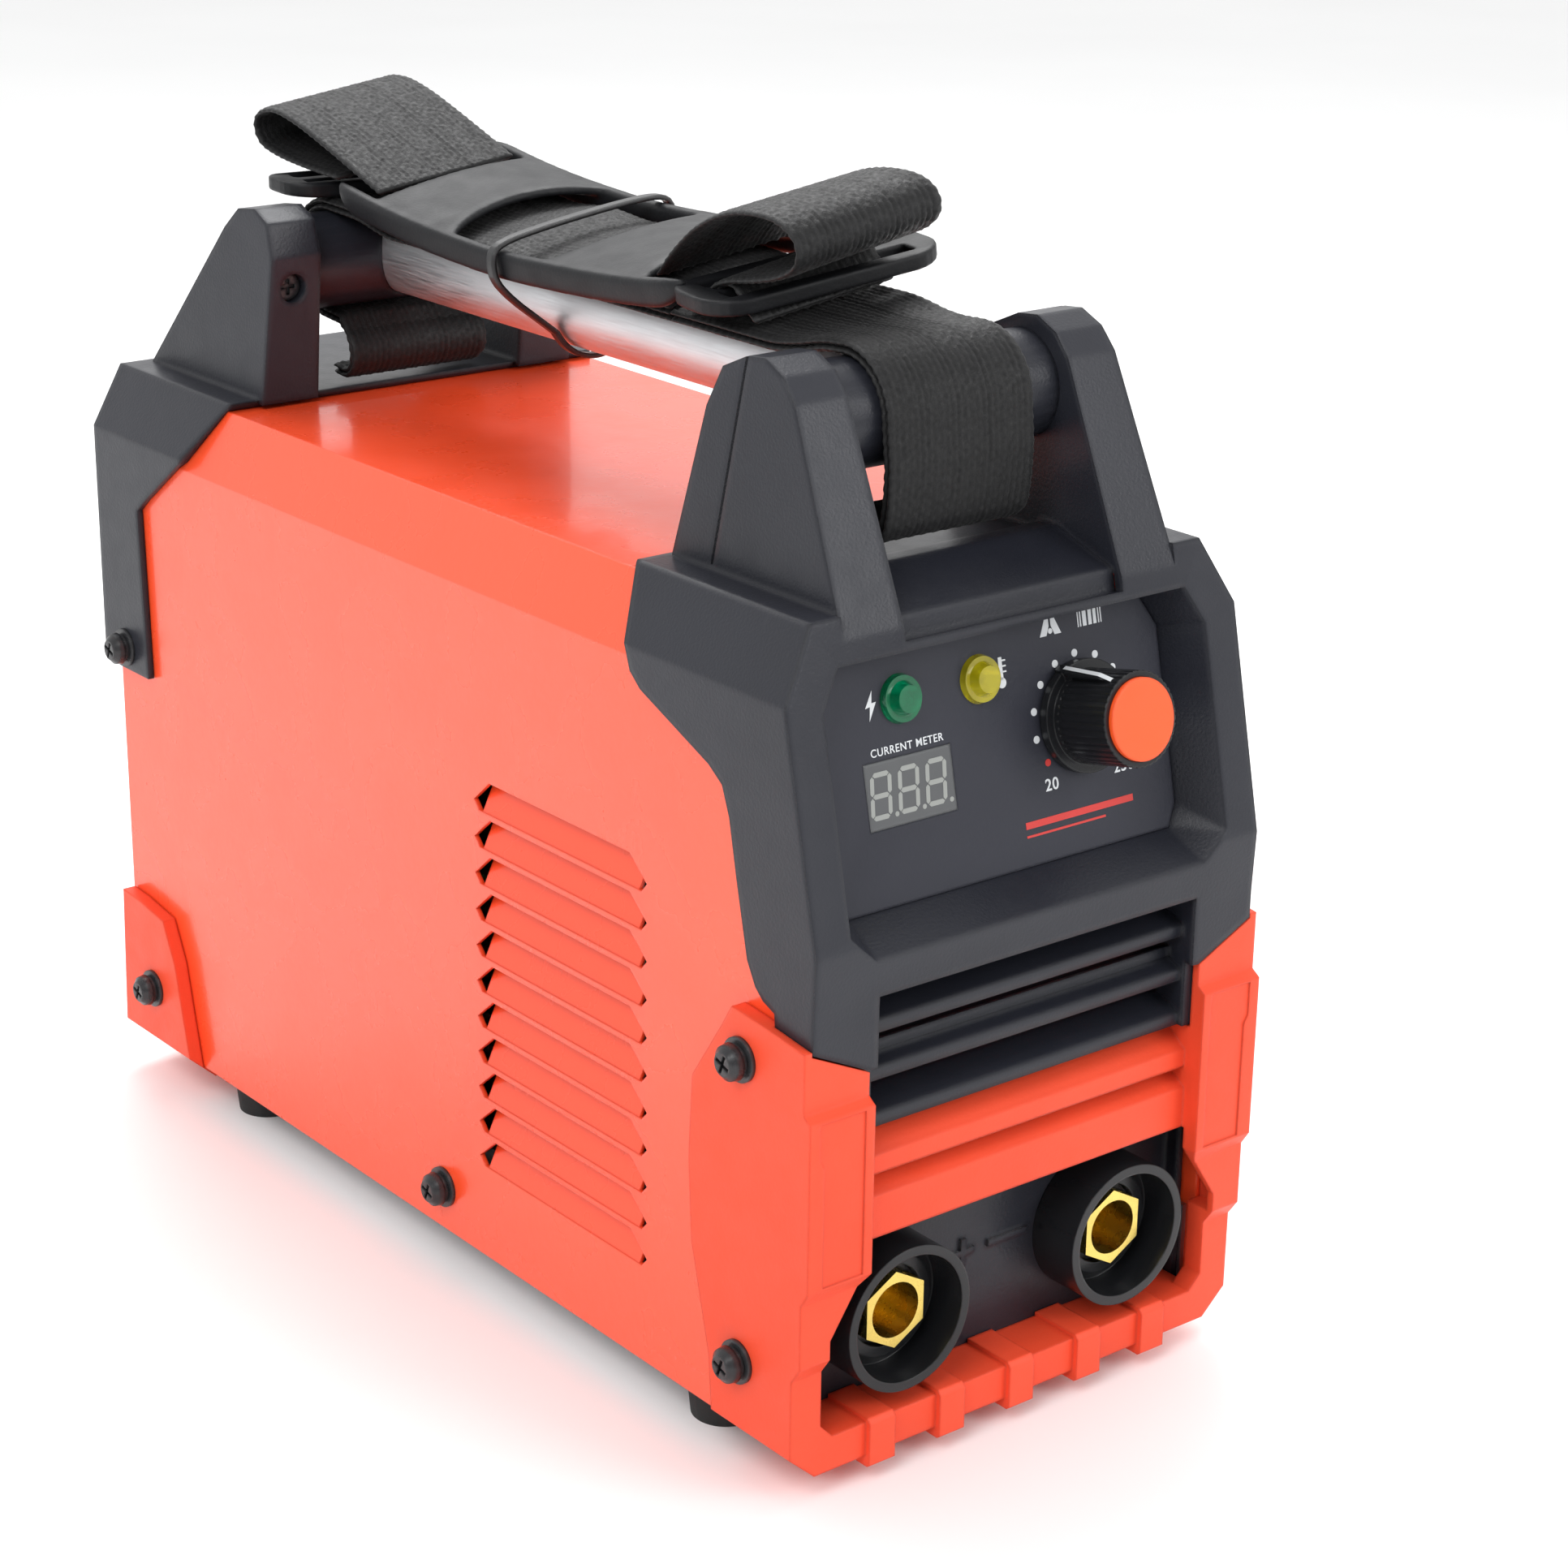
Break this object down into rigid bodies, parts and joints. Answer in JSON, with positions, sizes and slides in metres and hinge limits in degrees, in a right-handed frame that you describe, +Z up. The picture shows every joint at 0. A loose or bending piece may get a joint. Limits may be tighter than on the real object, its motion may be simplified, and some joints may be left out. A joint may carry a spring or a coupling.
{
  "type": "stick welding inverter",
  "caption": "Portable stick welding inverter: louvred orange steel casing, black bezels with a tubular handle and webbing strap, red corner guards, brass sockets, current knob and rear fan",
  "frame": {"origin": "on the floor, under the centre of the whole machine's bounding box", "axes": "+X to the right seen from the control face, +Y from the control face to the rear panel, +Z up"},
  "size_m": [0.14, 0.3132, 0.2699],
  "materials": {
    "casing_paint": "gloss",
    "dark_paint": "satin",
    "zinc_steel": "satin",
    "black_moulding": "satin",
    "black_gloss": "gloss",
    "panel_print": "matte",
    "red_moulding": "satin",
    "brass": "gloss",
    "copper_bar": "satin",
    "satin_tube": "satin",
    "foot_rubber": "matte",
    "black_steel": "satin",
    "cap_orange": "satin",
    "green_lens": "gloss",
    "yellow_lens": "gloss",
    "display_lens": "gloss",
    "display_case": "matte",
    "circuit_board": "gloss",
    "fin_aluminium": "satin",
    "capacitor_sleeve": "gloss",
    "ferrite": "matte",
    "winding_tape": "satin",
    "plated_wire": "gloss",
    "rocker_red": "gloss",
    "webbing": "matte",
    "tie_nylon": "satin"
  },
  "bodies": {
    "chassis": {"casing_cover": "casing_paint", "base_plate": "zinc_steel", "front_bezel": "black_moulding", "control_panel": "panel_print", "front_guard": "red_moulding", "socket_plate": "black_moulding", "socket_collars": "black_gloss", "socket_inserts": "brass", "socket_nuts": "brass", "rear_bezel": "black_moulding", "rear_panel": "dark_paint", "rear_guard": "red_moulding", "front_crossbar": "black_moulding", "rear_crossbar": "black_moulding", "handle_tube": "satin_tube", "feet": "foot_rubber", "side_screws": "black_steel", "spring_washers": "black_steel", "flat_washers": "black_steel", "bezel_screws": "black_steel", "pot_body": "zinc_steel", "pot_nut": "zinc_steel", "power_lamp": "green_lens", "fault_lamp": "yellow_lens", "display_window": "display_lens", "display_module": "display_case", "control_board": "circuit_board", "main_board": "circuit_board", "standoffs": "brass", "heatsinks": "fin_aluminium", "transistors": "black_gloss", "capacitors": "capacitor_sleeve", "transformer_core": "ferrite", "transformer_winding": "winding_tape", "busbars": "copper_bar", "fan_frame": "black_moulding", "fan_guard": "plated_wire", "fan_screws": "black_steel", "switch_body": "black_moulding", "cable_gland": "black_moulding", "gland_nut": "black_moulding", "earth_stud": "brass", "earth_nuts": "brass", "strap_bundle": "webbing", "strap_front": "webbing", "strap_rear": "webbing", "strap_loop_front": "webbing", "strap_loop_rear": "webbing", "shoulder_pad": "black_moulding", "buckle_front": "black_moulding", "buckle_rear": "black_moulding", "bundle_tie": "tie_nylon"},
    "knob": {"current_knob": "black_gloss", "knob_cap": "cap_orange"},
    "rotor": {"fan_rotor": "black_moulding"},
    "rocker": {"switch_rocker": "rocker_red"}
  },
  "joints": [
    {"name": "knob_turn", "type": "hinge", "parent": "chassis", "child": "knob", "pos_m": [0.0237, -0.1357, 0.1579], "axis": [0, -0.9763, 0.2164], "range_deg": [-155, 100]},
    {"name": "fan_spin", "type": "hinge", "parent": "chassis", "child": "rotor", "pos_m": [0, 0.1252, 0.084], "axis": [0, 1, 0], "continuous": true},
    {"name": "switch_rock", "type": "hinge", "parent": "chassis", "child": "rocker", "pos_m": [0.026, 0.1375, 0.152], "axis": [1, 0, 0], "range_deg": [-22, 0]}
  ]
}
